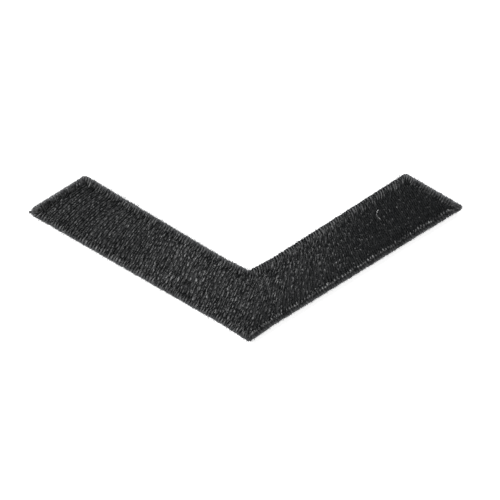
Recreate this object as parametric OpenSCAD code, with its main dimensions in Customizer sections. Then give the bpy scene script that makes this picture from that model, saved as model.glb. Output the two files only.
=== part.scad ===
// Rank chevron patch: one embroidered bar in the shape of a V.
// It lies flat, with the back of its cloth on z = 0 and the point of the V towards -Y.
// A cut cloth carries a field of fill stitches, and a raised satin border runs round the field.

/* [Bar] */
// Lower edge of the left arm, from the point of the V to its tip
left_arm_l = 34.8; // [30:0.1:45]
// Lower edge of the right arm, from the point of the V to its tip
right_arm_l = 34.2; // [30:0.1:45]
// Width of the bar, square to its long edges
bar_w = 8.1; // [7:0.1:11]
// Rise of both arms above the horizontal, in degrees
arm_rise = 31.1; // [24:0.1:40]
// Rise of the two end cuts above the horizontal, in degrees
end_rise = 30.8; // [26:0.1:45]
// Distance from the point and from the notch at which the long edges draw in most
waist_at = 4; // [3:0.1:8]
// How far each long edge draws in there, pulled by its stitches
waist_in = 0.22; // [0.1:0.02:0.5]

/* [Cloth] */
// Thickness of the cloth with its stiffening
cloth_t = 1; // [0.6:0.05:1.6]
// Radius of the cut at the tips and at the other end corners
tip_r = 0.35; // [0.1:0.05:0.6]
// Radius of the cut at the point and in the notch
point_r = 0.25; // [0.1:0.05:0.6]
// Cloth left showing outside the border
rim_w = 0.06; // [0.02:0.02:0.3]

/* [Border] */
// Width of the satin border
border_w = 0.84; // [0.5:0.02:1.3]
// Height of the border's crown above the cloth
border_h = 0.6; // [0.4:0.02:0.9]

/* [Field] */
// Height of the stitched field above the cloth, at its shoulder
field_h = 0.36; // [0.2:0.02:0.5]
// Further rise from the shoulder to the middle of the bar
crown_h = 0.1; // [0:0.02:0.3]
// Width of the flat stretch along the middle of the bar, at the waist
flat_w = 2; // [1:0.1:3]

/* [Hidden] */

// Clearance between a piece and what it lies on or beside
clearance = 0.02;
// Radius that smooths the long edges where they draw in
waist_r = 40;
// Smallest radius of an inner corner, where the stitches meet in a mitre
mitre_r = 0.05;
// Straight steps in the arc of each corner
corner_steps = 4;
// Steps over the crown of the border, from foot to foot
crown_steps = 8;

// Section of the field, a row for each ring from its foot to the flat stretch
// columns: inset (share of crown_run), shoulder (share of field_h), crown (share of crown_h)
FIELD_SECTION = [
    [0.00, 0.00, 0.00],
    [0.02, 0.62, 0.00],
    [0.09, 0.90, 0.00],
    [0.22, 1.00, 0.10],
    [0.50, 1.00, 0.65],
    [1.00, 1.00, 1.00],
];

// Both stitched pieces stand on the cloth at this height
foot_z = cloth_t + clearance;
// The border's outer foot lies rim_w inside the cut, and the field's foot this far
field_depth = rim_w + border_w + clearance;
// The field rises over this run, from its foot to the flat stretch
crown_run = bar_w / 2 - waist_in - field_depth - flat_w / 2;

// Directions of the arms, away from the point, and of the end cuts, away from the tips
left_dir = [-cos(arm_rise), sin(arm_rise)];
right_dir = [cos(arm_rise), sin(arm_rise)];
left_cut = [cos(end_rise), sin(end_rise)];
right_cut = [-cos(end_rise), sin(end_rise)];
cut_l = bar_w / sin(arm_rise + end_rise);
// Across each arm, from its lower edge to its upper edge
left_up = [sin(arm_rise), cos(arm_rise)];
right_up = [-sin(arm_rise), cos(arm_rise)];

point = [0, 0];
notch = [0, bar_w / cos(arm_rise)];
left_tip = left_arm_l * left_dir;
right_tip = right_arm_l * right_dir;

// Corners of the cut, counter-clockwise from the point
// columns: place, radius of the rounding
CORNERS = [
    [point, point_r],
    [waist_at * right_dir + waist_in * right_up, waist_r],
    [right_tip, tip_r],
    [right_tip + cut_l * right_cut, tip_r],
    [notch + waist_at * right_dir - waist_in * right_up, waist_r],
    [notch, point_r],
    [notch + waist_at * left_dir - waist_in * left_up, waist_r],
    [left_tip + cut_l * left_cut, tip_r],
    [left_tip, tip_r],
    [waist_at * left_dir + waist_in * left_up, waist_r],
];
corner_count = len(CORNERS);

function after(i) = (i + 1) % corner_count;
function before(i) = (i + corner_count - 1) % corner_count;

// Unit vector that points into the bar, square to the edge between two corners
function inward(from, to) = let (d = (to - from) / norm(to - from)) [-d.y, d.x];

// Corner i of the cut moved inwards, so that both of its edges lie depth further in
function inset_corner(i, depth) =
    let (
        p = CORNERS[i][0],
        n = inward(CORNERS[before(i)][0], p),
        m = inward(p, CORNERS[after(i)][0])
    )
    p + depth * (n + m) / (1 + n * m);

// Arc that rounds corner i of the loop at this depth
function corner_arc(i, depth) =
    let (
        p = inset_corner(i, depth),
        n = inward(inset_corner(before(i), depth), p),
        m = inward(p, inset_corner(after(i), depth)),
        side = sign(n.x * m.y - n.y * m.x),
        radius = max(CORNERS[i][1] - side * depth, mitre_r),
        centre = p + side * radius * (n + m) / (1 + n * m),
        start = atan2(-n.y, -n.x) + (side < 0 ? 180 : 0),
        turn = side * acos(min(1, n * m))
    )
    [
        for (k = [0:corner_steps])
            let (a = start + turn * k / corner_steps)
            centre + radius * [cos(a), sin(a)]
    ];

// The whole outline, this far inside the cut edge
function loop(depth) = [for (i = [0:corner_count - 1]) each corner_arc(i, depth)];

cut = loop(0);
loop_n = len(cut);
xs = [for (p = cut) p.x];
ys = [for (p = cut) p.y];
// Middle of the cut cloth, which everything is centred on
middle = [min(xs) + max(xs), min(ys) + max(ys)] / 2;

function raised(outline, z) = [for (p = outline) [p.x - middle.x, p.y - middle.y, z]];

// Faces that join each ring of points to the next one
function bands(rings) = [
    for (r = [0:rings - 2], i = [0:loop_n - 1])
        let (a = r * loop_n, b = a + loop_n, j = (i + 1) % loop_n)
        [a + i, b + i, b + j, a + j]
];

module base_cloth() {
    color("#1d1e20")
        linear_extrude(height = cloth_t)
            translate(-middle) polygon(cut);
}

module satin_border() {
    rings = [
        for (k = [0:crown_steps])
            let (a = 180 * k / crown_steps)
            raised(loop(rim_w + border_w * (1 - cos(a)) / 2), foot_z + border_h * sin(a))
    ];
    inner = crown_steps * loop_n;
    sole = [
        for (i = [0:loop_n - 1])
            let (j = (i + 1) % loop_n)
            [inner + i, i, j, inner + j]
    ];
    color("#242527")
        polyhedron([for (ring = rings) each ring], concat(bands(len(rings)), sole));
}

module stitched_field() {
    rings = [
        for (row = FIELD_SECTION)
            raised(
                loop(field_depth + row[0] * crown_run),
                foot_z + row[1] * field_h + row[2] * crown_h
            )
    ];
    crown = (len(rings) - 1) * loop_n;
    caps = [[for (i = [0:loop_n - 1]) i], [for (i = [loop_n - 1:-1:0]) crown + i]];
    color("#2a2b2d")
        polyhedron([for (ring = rings) each ring], concat(bands(len(rings)), caps));
}

base_cloth();
satin_border();
stitched_field();
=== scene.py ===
"""Looks of the rank chevron patch: black thread stitched on a stiffened black twill.

The cloth, the fill and the satin border each stand for one solid of the frame, thread by thread.
Every length is in metres, in the frame's own axes, with +Z out of the stitched face.
"""

import logging
import math
from collections.abc import Callable, Iterator
from contextlib import contextmanager
from dataclasses import astuple, dataclass, field
from enum import Enum
from functools import lru_cache

import bpy
import numpy as np
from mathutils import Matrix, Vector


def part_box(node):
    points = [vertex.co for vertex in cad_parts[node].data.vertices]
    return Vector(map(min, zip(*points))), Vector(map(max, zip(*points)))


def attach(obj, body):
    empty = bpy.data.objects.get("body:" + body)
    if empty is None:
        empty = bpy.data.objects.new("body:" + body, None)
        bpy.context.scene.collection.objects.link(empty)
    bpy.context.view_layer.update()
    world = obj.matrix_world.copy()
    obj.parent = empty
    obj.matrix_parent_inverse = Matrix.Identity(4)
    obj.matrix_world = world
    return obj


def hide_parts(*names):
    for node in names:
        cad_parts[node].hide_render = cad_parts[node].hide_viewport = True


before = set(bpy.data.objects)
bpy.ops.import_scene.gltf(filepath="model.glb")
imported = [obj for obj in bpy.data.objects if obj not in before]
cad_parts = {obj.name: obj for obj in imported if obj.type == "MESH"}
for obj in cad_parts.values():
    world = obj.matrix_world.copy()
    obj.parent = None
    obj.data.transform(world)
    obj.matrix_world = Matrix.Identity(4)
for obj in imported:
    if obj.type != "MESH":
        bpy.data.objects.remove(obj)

MM = 0.001
LOG = logging.getLogger("chevron_patch")
# Distance between the bands of a Wave texture at a scale of 1, where they run square to an axis
WAVE_PITCH = math.tau / 20
# The same where they run diagonally across X and Y
DIAGONAL_PITCH = math.tau / 10 / math.sqrt(2)
# How much the size of one strand's section differs from the next one's, as a share
SIZE_SPREAD = 0.07
# Each strand takes its own stretch of the filaments' pattern, this many millimetres on
PATTERN_STEP = 7.3


def linear(colour: str) -> tuple[float, float, float, float]:
    """Turns an sRGB hex colour into linear light.

    Args:
        colour: The colour as "#rrggbb".

    Returns:
        Red, green, blue and an alpha of one, in linear light.
    """
    shares = [int(colour[i : i + 2], 16) / 255 for i in (1, 3, 5)]
    red, green, blue = [s / 12.92 if s <= 0.04045 else ((s + 0.055) / 1.055) ** 2.4 for s in shares]
    return red, green, blue, 1.0


def add_node(
    tree: bpy.types.NodeTree,
    kind: str,
    settings: dict[str, object] | None = None,
    values: dict[str | int, object] | None = None,
    links: dict[str | int, bpy.types.NodeSocket] | None = None,
) -> bpy.types.Node:
    """Adds one node to a tree, with its settings, values and links.

    Args:
        tree: The node tree that takes the node.
        kind: The node's type, such as "ShaderNodeBump".
        settings: The node's own properties by name.
        values: Constant inputs by name or number.
        links: Output sockets that feed the node's inputs, by name or number.

    Returns:
        The new node.
    """
    node = tree.nodes.new(kind)
    for name, value in (settings or {}).items():
        setattr(node, name, value)
    for name, value in (values or {}).items():
        node.inputs[name].default_value = value
    for name, socket in (links or {}).items():
        tree.links.new(socket, node.inputs[name])
    return node


def new_material(name: str) -> tuple[bpy.types.Material, bpy.types.NodeTree]:
    """Makes an empty node material.

    Args:
        name: What the surface is made of.

    Returns:
        The material and its cleared node tree.
    """
    material = bpy.data.materials.new(name)
    material.use_nodes = True
    material.node_tree.nodes.clear()
    return material, material.node_tree


def select_only(obj: bpy.types.Object | None = None) -> None:
    """Deselects everything, and then selects one object and makes it active, if one is given."""
    bpy.ops.object.select_all(action="DESELECT")
    if obj is not None:
        obj.select_set(True)
        bpy.context.view_layer.objects.active = obj


@contextmanager
def editing() -> Iterator[None]:
    """Opens the active mesh for editing with all of it selected, and closes it again."""
    bpy.ops.object.mode_set(mode="EDIT")
    bpy.ops.mesh.select_all(action="SELECT")
    yield
    bpy.ops.object.mode_set(mode="OBJECT")


def running_total(steps: np.ndarray) -> np.ndarray:
    """Adds steps up one by one, from 0."""
    return np.concatenate([[0.0], np.cumsum(steps)])


def turned(places: np.ndarray, angles: np.ndarray) -> tuple[np.ndarray, np.ndarray]:
    """Turns places in plan about the origin, each by its own angle, and returns their X and Y."""
    x, y = places[:, 0], places[:, 1]
    return x * np.cos(angles) - y * np.sin(angles), x * np.sin(angles) + y * np.cos(angles)


def smoothstep(x: np.ndarray) -> np.ndarray:
    """Rises smoothly from 0 to 1 as x does, and stays level outside."""
    x = np.clip(x, 0.0, 1.0)
    return x * x * (3 - 2 * x)


def level(value: float) -> Callable[[np.ndarray], np.ndarray]:
    """Makes a function that gives one value everywhere."""
    return lambda share: np.full_like(share, value)


def linked(name: str, data: bpy.types.ID) -> bpy.types.Object:
    """Makes an object of some data and links it to the scene."""
    obj = bpy.data.objects.new(name, data)
    bpy.context.scene.collection.objects.link(obj)
    return obj


def copied_node(node: str, name: str) -> bpy.types.Object:
    """Copies a solid of the frame into a new piece, with its loose triangles merged.

    Args:
        node: The frame's node.
        name: The new piece's name.

    Returns:
        The new piece, in object mode, selected and active.
    """
    piece = linked(name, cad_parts[node].data.copy())
    piece.data.materials.clear()
    select_only(piece)
    with editing():
        bpy.ops.mesh.remove_doubles(threshold=0.001 * MM)
    return piece


class Corner(Enum):
    """The ten corners of the cut edge, counter-clockwise from the point of the V."""

    POINT = 0
    LOWER_RIGHT_WAIST = 1
    RIGHT_TIP = 2
    RIGHT_TOP = 3
    UPPER_RIGHT_WAIST = 4
    NOTCH = 5
    UPPER_LEFT_WAIST = 6
    LEFT_TOP = 7
    LEFT_TIP = 8
    LOWER_LEFT_WAIST = 9


@dataclass(frozen=True)
class CutOutline:
    """The cloth's cut edge, seen from above, as the sharp corners that its straight runs meet in."""

    corners: np.ndarray

    @classmethod
    def read(
        cls, node: str, longest_arc_step: float = 1.0 * MM, level_within: float = 0.01 * MM
    ) -> "CutOutline":
        """Reads the outline from the frame's cloth.

        Args:
            node: The cloth's node.
            longest_arc_step: Any edge longer than this is a straight run, and no part of an arc.
            level_within: A face that rises no more than this above the floor is part of the foot.

        Returns:
            The outline, counter-clockwise from the point of the V.
        """
        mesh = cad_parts[node].data
        places = np.array([v.co for v in mesh.vertices])
        floor = places[:, 2].min()
        walked: set[tuple[tuple[float, float], tuple[float, float]]] = set()
        for face in mesh.polygons:
            ring = [tuple(np.round(places[i], 7)) for i in face.vertices]
            if max(p[2] for p in ring) - floor < level_within:
                for a, b in zip(ring, ring[1:] + ring[:1]):
                    # An edge inside the face is walked both ways and drops out
                    if (b[:2], a[:2]) in walked:
                        walked.remove((b[:2], a[:2]))
                    else:
                        walked.add((a[:2], b[:2]))
        # The foot faces down, so its edges run clockwise seen from above, and are followed backwards
        onward = {b: a for a, b in walked}
        start = min(onward, key=lambda p: p[1])
        ring, here = [start], onward[start]
        while here != start:
            ring.append(here)
            here = onward[here]
        loop = np.array(ring)
        ahead = np.roll(loop, -1, axis=0)
        runs = np.linalg.norm(ahead - loop, axis=1) > longest_arc_step
        begins, ends = loop[runs], ahead[runs]
        before = zip(np.roll(begins, 1, axis=0), np.roll(ends, 1, axis=0))
        corners = np.array(
            [crossing(p, q - p, r, s - r) for (p, q), r, s in zip(before, begins, ends)]
        )
        return cls(np.roll(corners, -int(corners[:, 1].argmin()), axis=0))

    def inset(self, depth: float) -> np.ndarray:
        """Moves every edge inwards.

        Args:
            depth: How far.

        Returns:
            The corners of the smaller outline.
        """
        before = np.roll(self.corners, 1, axis=0)
        after = np.roll(self.corners, -1, axis=0)
        n = inward(before, self.corners)
        m = inward(self.corners, after)
        return self.corners + depth * (n + m) / (1 + (n * m).sum(1))[:, None]

    def drawn(self, shifts: dict[Corner, tuple[float, float]]) -> "CutOutline":
        """Draws some corners back.

        Args:
            shifts: How far each of them moves, in plan.

        Returns:
            The changed outline.
        """
        corners = self.corners.copy()
        for corner, shift in shifts.items():
            corners[corner.value] += shift
        return CutOutline(corners)

    def depth(self, points: np.ndarray) -> np.ndarray:
        """Distance from each point to the nearest edge, for points inside the outline."""
        nearest = np.full(len(points), np.inf)
        for a, b in zip(self.corners, np.roll(self.corners, -1, axis=0)):
            along = np.clip(((points - a) @ (b - a)) / ((b - a) @ (b - a)), 0, 1)
            nearest = np.minimum(nearest, np.linalg.norm(points - a - along[:, None] * (b - a), axis=1))
        return nearest

    def corner(self, which: Corner) -> np.ndarray:
        """The place of one named corner."""
        return self.corners[which.value]


def crossing(p: np.ndarray, d: np.ndarray, q: np.ndarray, e: np.ndarray) -> np.ndarray:
    """The point where the line through p along d meets the line through q along e."""
    t = ((q - p)[0] * e[1] - (q - p)[1] * e[0]) / (d[0] * e[1] - d[1] * e[0])
    return p + t * d


def inward(start: np.ndarray, end: np.ndarray) -> np.ndarray:
    """Unit vectors square to edges that run counter-clockwise, pointing into the outline."""
    run = end - start
    run = run / np.linalg.norm(run, axis=1)[:, None]
    return np.stack([-run[:, 1], run[:, 0]], axis=1)


# How far the two sharp tips of the outline that the threads follow are drawn back
DRAWN_TIPS = {Corner.RIGHT_TIP: (-0.08 * MM, 0.04 * MM), Corner.LEFT_TIP: (0.05 * MM, 0.0)}
# How far the cloth's own two tips are drawn back, so that they stay under the rounded border
DRAWN_CLOTH = {Corner.RIGHT_TIP: (-0.3 * MM, 0.12 * MM), Corner.LEFT_TIP: (0.4 * MM, 0.0)}


@dataclass(frozen=True)
class StrandPiece:
    """The mesh of one straight length of strand along +Z, as arrays.

    Attributes:
        across: Each vertex's place in X and Y.
        ring: The ring that each vertex belongs to.
        ring_share: Each ring's place along the strand, from 0 to 1.
        length: The strand's length.
        faces: The faces, by their vertices' numbers.
        uv: The filaments' UV at each corner of each face.
    """

    across: np.ndarray
    ring: np.ndarray
    ring_share: np.ndarray
    length: float
    faces: list[tuple[int, ...]]
    uv: np.ndarray


@dataclass(frozen=True)
class Strand:
    """Embroidery thread: two plies twisted round each other, pressed a little flat.

    Attributes:
        ply_r: Radius of one ply.
        ply_gap: Distance between the middles of the two plies.
        turn_l: Length of one full turn of the twist.
        sides: Faces round one ply.
        rings_a_turn: Rings along one full turn.
        flat: Height over width, for a strand under tension on its bed.
        plies: Two, or one for a single filament.
    """

    ply_r: float = 0.1 * MM
    ply_gap: float = 0.09 * MM
    turn_l: float = 2.0 * MM
    sides: int = 6
    rings_a_turn: int = 10
    flat: float = 0.75
    plies: int = 2

    @lru_cache(maxsize=None)
    def model(self, quarters: int) -> StrandPiece:
        """Models a length of strand as the screw of its round plies.

        Args:
            quarters: Its length in quarter turns.

        Returns:
            The modelled mesh as arrays, with the filaments' own UV.
        """
        select_only()
        bpy.ops.mesh.primitive_circle_add(
            vertices=self.sides, radius=self.ply_r, location=(self.ply_gap / 2, 0, 0)
        )
        obj = bpy.context.object
        with editing():
            if self.plies == 2:
                bpy.ops.mesh.duplicate()
                bpy.ops.transform.rotate(value=math.pi, orient_axis="Z", center_override=(0, 0, 0))
        bpy.ops.object.transform_apply(location=True, rotation=True, scale=True)
        rings = self.rings_a_turn * quarters // 4
        length = self.turn_l * quarters / 4
        screw = obj.modifiers.new("twist", "SCREW")
        screw.angle = math.tau * quarters / 4
        screw.screw_offset = length
        screw.steps = rings
        screw.render_steps = rings
        bpy.ops.object.modifier_apply(modifier=screw.name)
        with editing():
            bpy.ops.mesh.fill_holes(sides=self.sides)
            bpy.ops.mesh.select_all(action="SELECT")
            bpy.ops.mesh.normals_make_consistent(inside=False)
        piece = self._read(obj.data, length, rings)
        bpy.data.objects.remove(obj)
        return piece

    def _read(self, mesh: bpy.types.Mesh, length: float, rings: int) -> StrandPiece:
        """Reads the modelled strand, and unrolls its filaments.

        Args:
            mesh: The modelled mesh.
            length: The strand's length.
            rings: Steps along it.

        Returns:
            The strand as arrays. U counts turns round a ply and V millimetres along the strand. A
            line of equal U is a filament: it winds back against the twist, and so lies along the
            strand where it shows.
        """
        co = np.array([v.co for v in mesh.vertices])
        x, y = turned(co, -math.tau * co[:, 2] / self.turn_l)
        round_ply = np.arctan2(y, x - np.sign(x) * self.ply_gap / 2) / math.tau
        filament_turns = (self.ply_gap / 2 + self.ply_r) / self.ply_r / self.turn_l
        faces = [tuple(p.vertices) for p in mesh.polygons]
        uv = []
        for face in faces:
            index = list(face)
            local = round_ply[index]
            local = local[0] + (local - local[0] + 0.5) % 1.0 - 0.5
            uv.append(np.stack([local + filament_turns * co[index, 2], co[index, 2] / MM], axis=1))
        return StrandPiece(
            across=co[:, :2],
            ring=np.rint(co[:, 2] / length * rings).astype(int),
            ring_share=np.linspace(0, 1, rings + 1),
            length=length,
            faces=faces,
            uv=np.concatenate(uv),
        )

    def quarters(self, length: float, slack: float = 1.0) -> int:
        """The whole number of quarter turns nearest to a length, at least two.

        Args:
            length: The strand's length.
            slack: How much longer than usual a turn is, where tension lets the twist out.

        Returns:
            The number of quarter turns.
        """
        return max(2, round(4 * length / self.turn_l / slack))


@dataclass
class StrandMesh:
    """Many strands, each laid along its own path, joined into one mesh.

    Attributes:
        name: The piece's name.
        flat: Height over width of a strand's section.
        taper_l: Length beside either end over which a strand thins.
        taper_to: Share of its size that is left at its very end.
        wander: How far the twist runs ahead of its even course and behind it, in radians.
        wander_l: Length over which it does so once.
        points: Each strand's vertices.
        faces: All faces, by their vertices' numbers.
        uv: Each strand's filament UV.
        glint: How strongly each strand's vertices glint.
        painted_rim_light: How much painted rim light each vertex takes, from 0 to 1.
        count: How many vertices there are so far.
    """

    name: str
    flat: float
    taper_l: float = 0.3 * MM
    taper_to: float = 0.72
    wander: float = 0.8
    wander_l: float = 2.6 * MM
    points: list[np.ndarray] = field(default_factory=list)
    faces: list[tuple[int, ...]] = field(default_factory=list)
    uv: list[np.ndarray] = field(default_factory=list)
    glint: list[np.ndarray] = field(default_factory=list)
    painted_rim_light: list[np.ndarray] = field(default_factory=list)
    count: int = 0

    def lay(
        self,
        piece: StrandPiece,
        path: Callable[[np.ndarray], np.ndarray],
        size: float,
        phase: float,
        glint: Callable[[np.ndarray], np.ndarray] = np.ones_like,
        painted_rim_light: Callable[[np.ndarray], np.ndarray] = np.zeros_like,
    ) -> None:
        """Lays one strand along a path.

        Args:
            piece: The modelled strand.
            path: Gives places along the path for shares of its length.
            size: Scale of the strand's section.
            phase: Turn of the twist at its start, in radians.
            glint: Gives how strongly it glints beside the others, for shares of its length.
            painted_rim_light: Gives how much painted rim light it takes, from 0 to 1, for shares of its
                length.
        """
        spine = path(piece.ring_share)
        ahead = np.gradient(spine, axis=0)
        ahead /= np.linalg.norm(ahead, axis=1)[:, None]
        side = np.column_stack([-ahead[:, 1], ahead[:, 0], np.zeros(len(ahead))])
        side /= np.linalg.norm(side, axis=1)[:, None]
        up = np.cross(ahead, side)
        from_end = np.minimum(piece.ring_share, 1 - piece.ring_share) * piece.length
        pinch = self.taper_to + (1 - self.taper_to) * smoothstep(from_end / self.taper_l)
        along = math.tau * piece.ring_share * piece.length / self.wander_l
        # The wander starts at another place in each strand
        twist = phase + self.wander * np.sin(along + 5 * phase)
        x, y = turned(piece.across, twist[piece.ring])
        scale = (size * pinch)[piece.ring, None]
        placed = spine[piece.ring] + scale * (
            side[piece.ring] * x[:, None] + up[piece.ring] * (self.flat * y)[:, None]
        )
        self.points.append(placed)
        self.faces.extend(tuple(i + self.count for i in face) for face in piece.faces)
        self.uv.append(piece.uv + (0.0, PATTERN_STEP * len(self.points)))
        self.glint.append(glint(piece.ring_share)[piece.ring])
        self.painted_rim_light.append(painted_rim_light(piece.ring_share)[piece.ring])
        self.count += len(placed)

    def build(self, material: bpy.types.Material) -> bpy.types.Object:
        """Joins the strands into one object with its UV map, its two attributes and a material."""
        mesh = bpy.data.meshes.new(self.name)
        mesh.from_pydata(np.concatenate(self.points), [], self.faces)
        mesh.uv_layers.new(name="filaments").uv.foreach_set("vector", np.concatenate(self.uv).ravel())
        for name, values in (("glint", self.glint), ("painted_rim_light", self.painted_rim_light)):
            mesh.attributes.new(name, "FLOAT", "POINT").data.foreach_set("value", np.concatenate(values))
        mesh.shade_smooth()
        mesh.materials.append(material)
        triangles = sum(len(face) - 2 for face in self.faces)
        LOG.info("%s of %d strands and %d triangles", self.name, len(self.points), triangles)
        return linked(self.name, mesh)


@dataclass(frozen=True)
class PolyesterThread:
    """Trilobal polyester embroidery thread, two-ply, dyed black.

    Its straight filaments throw the light sideways, so a strand glints in a line where it lies
    square to the light, and stays dark where it points at the light. The filaments are 0.02 mm
    thick, some thirty round a ply, and too fine to show, so they are drawn half as many.

    Attributes:
        name: The material's name.
        colour: Dyed black.
        rim_light_grey: The lighter grey of the painted rim light, which stands in for the white
            surroundings that the strands reflect at the cut.
        gloss: How strongly the glossiest filaments mirror.
        filaments: Filaments drawn round one ply.
        streak_l: Length over which a filament changes, in millimetres.
        groove: Depth of the grooves between filaments.
        tufts: Bundles of filaments round one ply that lie a little askew together.
        tuft_l: Length over which a bundle stays together, in millimetres.
        roughness: Of a ply's skin.
        ior: Of polyester.
        anisotropy: How much the filaments stretch the glint.
    """

    name: str = "polyester_thread_black"
    colour: str = "#1a1b1c"
    rim_light_grey: str = "#222324"
    gloss: float = 0.85
    filaments: float = 14.0
    streak_l: float = 1.4
    groove: float = 0.02 * MM
    tufts: float = 2.0
    tuft_l: float = 0.3
    roughness: float = 0.5
    ior: float = 1.57
    anisotropy: float = 0.88

    def material(self) -> bpy.types.Material:
        """Builds the material."""
        material, tree = new_material(self.name)
        place = add_node(tree, "ShaderNodeUVMap", {"uv_map": "filaments"})
        patterns = []
        # Across the ply each pattern has so many parts a turn, and along it one in so many mm
        for parts, part_l in ((self.filaments, self.streak_l), (self.tufts, self.tuft_l)):
            stretch = add_node(
                tree,
                "ShaderNodeMapping",
                values={"Scale": (parts, 1 / part_l, 1)},
                links={"Vector": place.outputs["UV"]},
            )
            noise = add_node(
                tree,
                "ShaderNodeTexNoise",
                {"noise_dimensions": "2D"},
                {"Scale": 1.0, "Detail": 2.0, "Roughness": 0.6},
                {"Vector": stretch.outputs["Vector"]},
            )
            patterns.append(noise)
        streaks, tufts = patterns
        lustre = add_node(
            tree,
            "ShaderNodeMapRange",
            values={"From Min": 0.35, "From Max": 0.65, "To Min": 0.0, "To Max": self.gloss},
            links={"Value": tufts.outputs["Fac"]},
        )
        glint = add_node(tree, "ShaderNodeAttribute", {"attribute_name": "glint"})
        mirrored = add_node(
            tree,
            "ShaderNodeMath",
            {"operation": "MULTIPLY"},
            links={0: lustre.outputs["Result"], 1: glint.outputs["Fac"]},
        )
        grooves = add_node(
            tree,
            "ShaderNodeBump",
            values={"Strength": 1.0, "Distance": self.groove},
            links={"Height": streaks.outputs["Fac"]},
        )
        painted_rim_light = add_node(tree, "ShaderNodeAttribute", {"attribute_name": "painted_rim_light"})
        # Painted rim light: the dyed black turns toward a lighter grey as far as the attribute says, in
        # place of the light that the edge catches
        dye_and_rim_light = add_node(
            tree,
            "ShaderNodeMixRGB",
            values={"Color1": linear(self.colour), "Color2": linear(self.rim_light_grey)},
            links={"Fac": painted_rim_light.outputs["Fac"]},
        )
        tangent = add_node(tree, "ShaderNodeTangent", {"direction_type": "UV_MAP", "uv_map": "filaments"})
        skin = add_node(
            tree,
            "ShaderNodeBsdfPrincipled",
            values={"Roughness": self.roughness, "IOR": self.ior, "Anisotropic": self.anisotropy},
            links={
                "Specular IOR Level": mirrored.outputs["Value"],
                "Base Color": dye_and_rim_light.outputs["Color"],
                "Normal": grooves.outputs["Normal"],
                "Tangent": tangent.outputs["Tangent"],
            },
        )
        add_node(tree, "ShaderNodeOutputMaterial", links={"Surface": skin.outputs["BSDF"]})
        return material


@dataclass(frozen=True)
class UnderlayThread:
    """The bed of underlay stitches below the strands that show, in the same black thread.

    Between the strands it gives the eye a dull black, with no glint of its own. Its rows are drawn
    at the 0.4 mm of the border's stitches.

    Attributes:
        name: The material's name.
        colour: Black, in the shadow of the strands above.
        pitch: Distance between the underlay's rows.
        relief: Depth between them.
    """

    name: str = "underlay_thread_black"
    colour: str = "#191a1b"
    pitch: float = 0.4 * MM
    relief: float = 0.05 * MM

    def material(self) -> bpy.types.Material:
        """Builds the material."""
        material, tree = new_material(self.name)
        place = add_node(tree, "ShaderNodeTexCoord")
        rows = add_node(
            tree,
            "ShaderNodeTexWave",
            {"bands_direction": "X"},
            {"Scale": WAVE_PITCH / self.pitch, "Distortion": 1.5, "Detail": 2.0, "Detail Scale": 2.0},
            {"Vector": place.outputs["Object"]},
        )
        relief = add_node(
            tree,
            "ShaderNodeBump",
            values={"Strength": 0.8, "Distance": self.relief},
            links={"Height": rows.outputs["Fac"]},
        )
        skin = add_node(
            tree,
            "ShaderNodeBsdfPrincipled",
            values={"Base Color": linear(self.colour), "Roughness": 0.75, "IOR": 1.5},
            links={"Normal": relief.outputs["Normal"]},
        )
        add_node(tree, "ShaderNodeOutputMaterial", links={"Surface": skin.outputs["BSDF"]})
        return material


@dataclass(frozen=True)
class StiffenedTwill:
    """Black polyester twill on its stiffening, cut with heat.

    It gives the eye a dull black rim with fine diagonal ribs, half a millimetre apart as in a
    strong patch twill, and a little sheen at a low angle.

    Attributes:
        name: The material's name.
        colour: The yarn.
        furrow: The shadow between the twill's ribs.
        rib: Distance between the diagonal ribs.
        relief: Depth between them.
    """

    name: str = "polyester_twill_black"
    colour: str = "#1c1d1f"
    furrow: str = "#0e0f10"
    rib: float = 0.35 * math.sqrt(2) * MM
    relief: float = 0.04 * MM

    def material(self) -> bpy.types.Material:
        """Builds the material."""
        material, tree = new_material(self.name)
        place = add_node(tree, "ShaderNodeTexCoord")
        ribs = add_node(
            tree,
            "ShaderNodeTexWave",
            {"bands_direction": "DIAGONAL"},
            {"Scale": DIAGONAL_PITCH / self.rib, "Distortion": 0.8, "Detail": 2.0, "Detail Scale": 3.0},
            {"Vector": place.outputs["Object"]},
        )
        relief = add_node(
            tree,
            "ShaderNodeBump",
            values={"Strength": 0.9, "Distance": self.relief},
            links={"Height": ribs.outputs["Fac"]},
        )
        yarn = add_node(
            tree,
            "ShaderNodeMixRGB",
            values={"Color1": linear(self.furrow), "Color2": linear(self.colour)},
            links={"Fac": ribs.outputs["Fac"]},
        )
        skin = add_node(
            tree,
            "ShaderNodeBsdfPrincipled",
            values={"Roughness": 0.8, "IOR": 1.5, "Sheen Weight": 0.15, "Sheen Roughness": 0.5},
            links={"Base Color": yarn.outputs["Color"], "Normal": relief.outputs["Normal"]},
        )
        add_node(tree, "ShaderNodeOutputMaterial", links={"Surface": skin.outputs["BSDF"]})
        return material


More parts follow.
